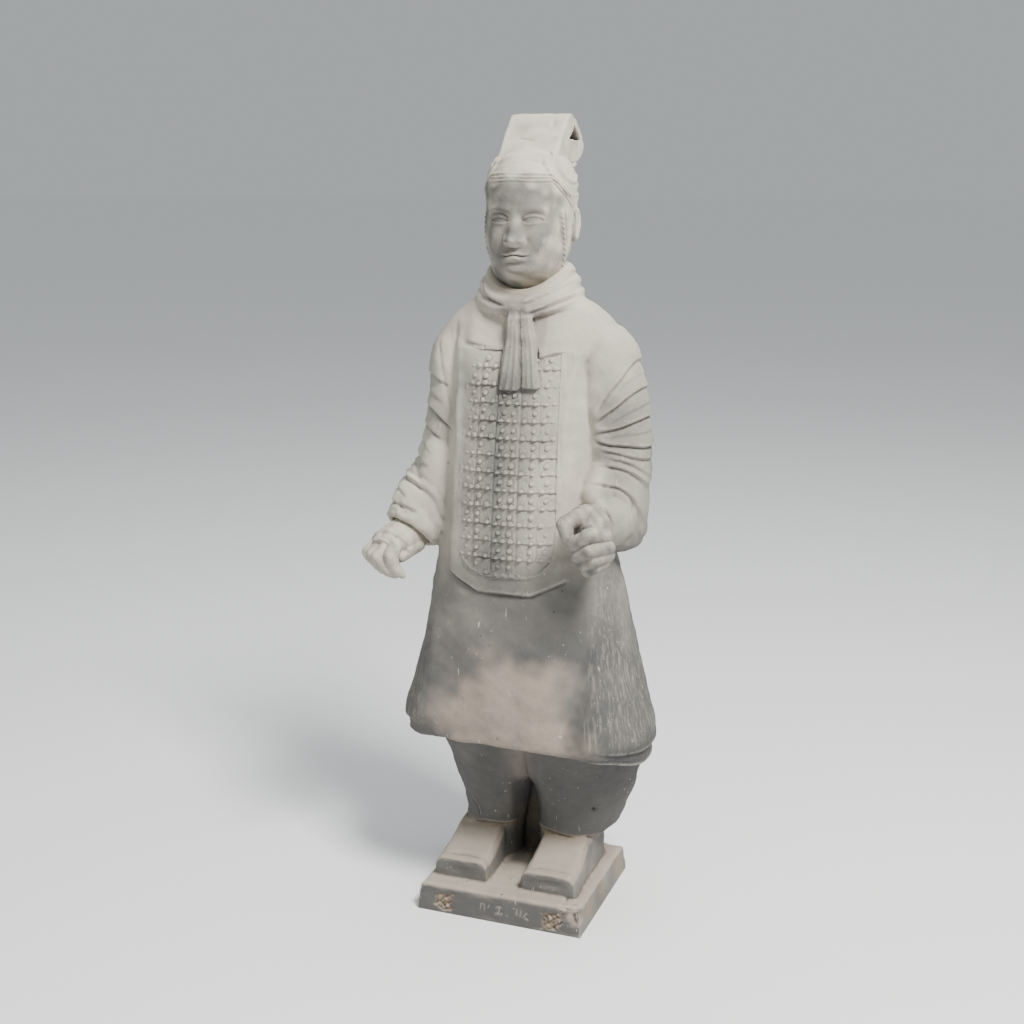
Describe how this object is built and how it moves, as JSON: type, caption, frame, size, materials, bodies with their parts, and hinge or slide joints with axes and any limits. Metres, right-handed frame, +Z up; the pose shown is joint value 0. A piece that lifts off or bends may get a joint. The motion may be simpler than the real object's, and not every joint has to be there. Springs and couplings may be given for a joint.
{
  "type": "terracotta warrior statue",
  "caption": "Standing clay warrior figure in a plated armour apron, scarf and long robe, on a low square plinth, with a lift-out head under a folded cap and two set-in hands.",
  "frame": {"origin": "middle of the plinth's underside, on the floor", "axes": "+Z up along the figure, -Y the way the figure faces, +X its left side"},
  "size_m": [0.2175, 0.1432, 0.6],
  "materials": {
    "grey_clay": "matt unglazed grey clay with pale dust and ochre stains",
    "pale_clay": "matt unglazed pale buff clay, chipped and dusty",
    "hand_clay": "matt unglazed buff clay, rubbed grey in the creases"
  },
  "bodies": {
    "root": {"body": "grey_clay", "head": "pale_clay", "right_hand": "hand_clay", "left_hand": "hand_clay"}
  },
  "joints": []
}
